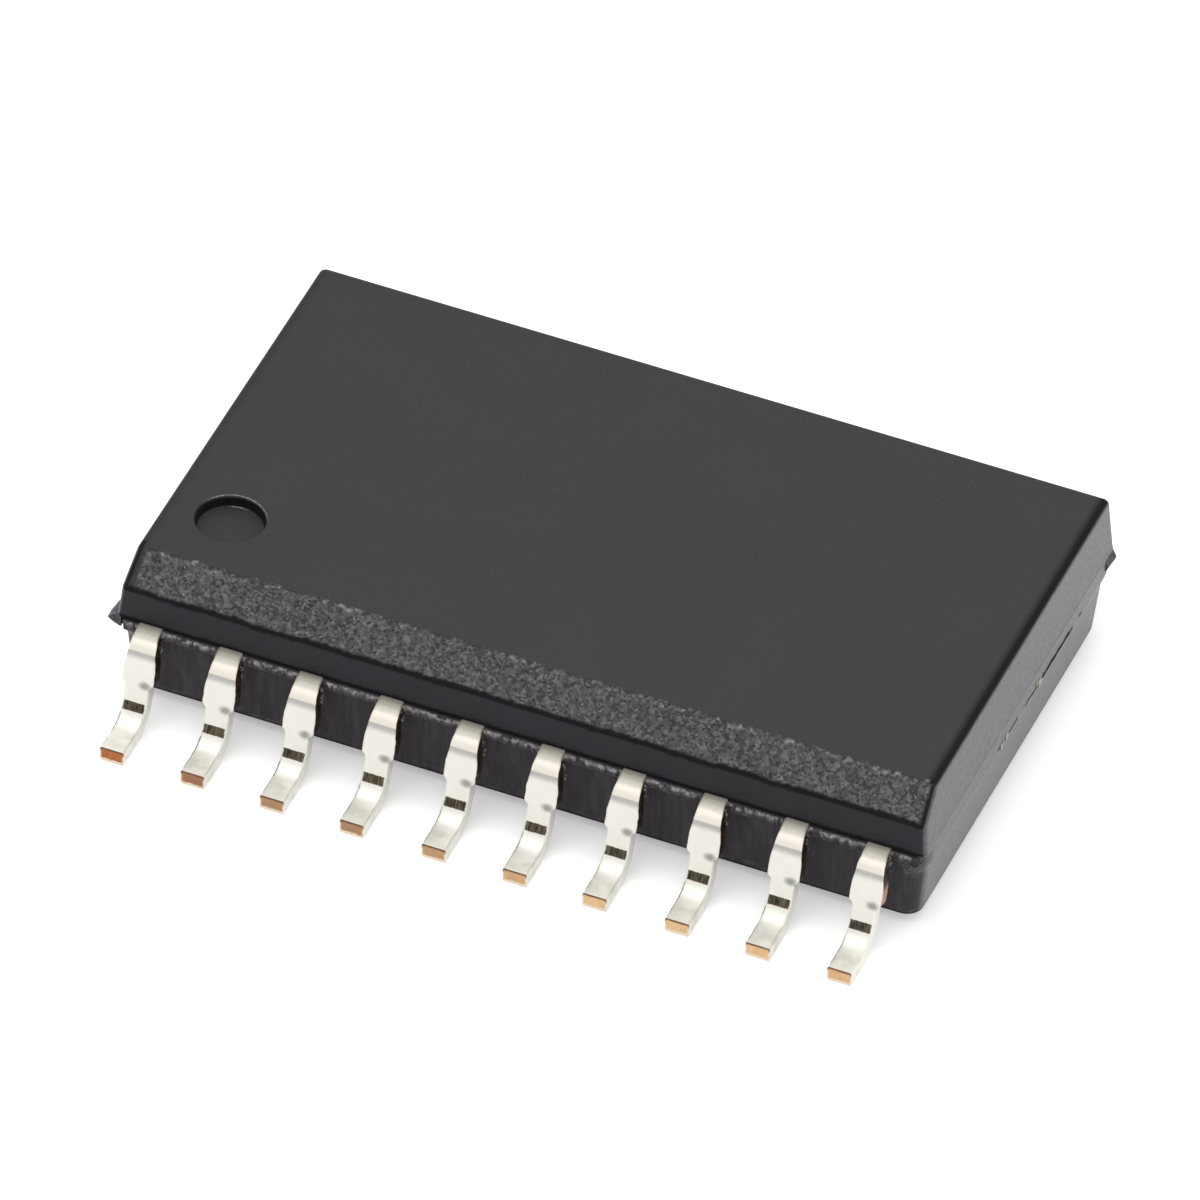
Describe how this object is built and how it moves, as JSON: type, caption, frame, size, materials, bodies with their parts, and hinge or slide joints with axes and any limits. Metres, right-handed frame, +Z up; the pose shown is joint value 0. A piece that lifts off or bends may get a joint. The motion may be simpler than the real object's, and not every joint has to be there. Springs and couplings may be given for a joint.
{
  "type": "small-outline integrated circuit",
  "caption": "Wide black moulded chip with a bevelled edge, a round pin 1 recess and a row of tinned gull-wing leads along each long side.",
  "frame": {"origin": "centre of the package on the seating plane, the plane that the feet stand on", "axes": "X along the body, pin 1 end at -X; Y across the body, pin 1 row at -Y; Z up from the board"},
  "size_m": [0.0129, 0.0104, 0.0025],
  "materials": {
    "moulding_compound": "black filled epoxy, matte as moulded, coarser grain on the bevel",
    "copper_paddle": "bare stamped copper alloy",
    "silver_epoxy": "cured silver-filled adhesive",
    "silicon": "polished silicon",
    "tinned_leads": "matte tin plate over copper alloy, bare copper at the cut toes",
    "gold_wire": "drawn gold wire"
  },
  "bodies": {
    "root": {"body": "moulding_compound", "die_paddle": "copper_paddle", "die_attach": "silver_epoxy", "die": "silicon", "lead_01": "tinned_leads", "lead_02": "tinned_leads", "lead_03": "tinned_leads", "lead_04": "tinned_leads", "lead_05": "tinned_leads", "lead_06": "tinned_leads", "lead_07": "tinned_leads", "lead_08": "tinned_leads", "lead_09": "tinned_leads", "lead_10": "tinned_leads", "lead_11": "tinned_leads", "lead_12": "tinned_leads", "lead_13": "tinned_leads", "lead_14": "tinned_leads", "lead_15": "tinned_leads", "lead_16": "tinned_leads", "lead_17": "tinned_leads", "lead_18": "tinned_leads", "lead_19": "tinned_leads", "lead_20": "tinned_leads", "wire_01": "gold_wire", "wire_02": "gold_wire", "wire_03": "gold_wire", "wire_04": "gold_wire", "wire_05": "gold_wire", "wire_06": "gold_wire", "wire_07": "gold_wire", "wire_08": "gold_wire", "wire_09": "gold_wire", "wire_10": "gold_wire", "wire_11": "gold_wire", "wire_12": "gold_wire", "wire_13": "gold_wire", "wire_14": "gold_wire", "wire_15": "gold_wire", "wire_16": "gold_wire", "wire_17": "gold_wire", "wire_18": "gold_wire", "wire_19": "gold_wire", "wire_20": "gold_wire"}
  },
  "joints": []
}
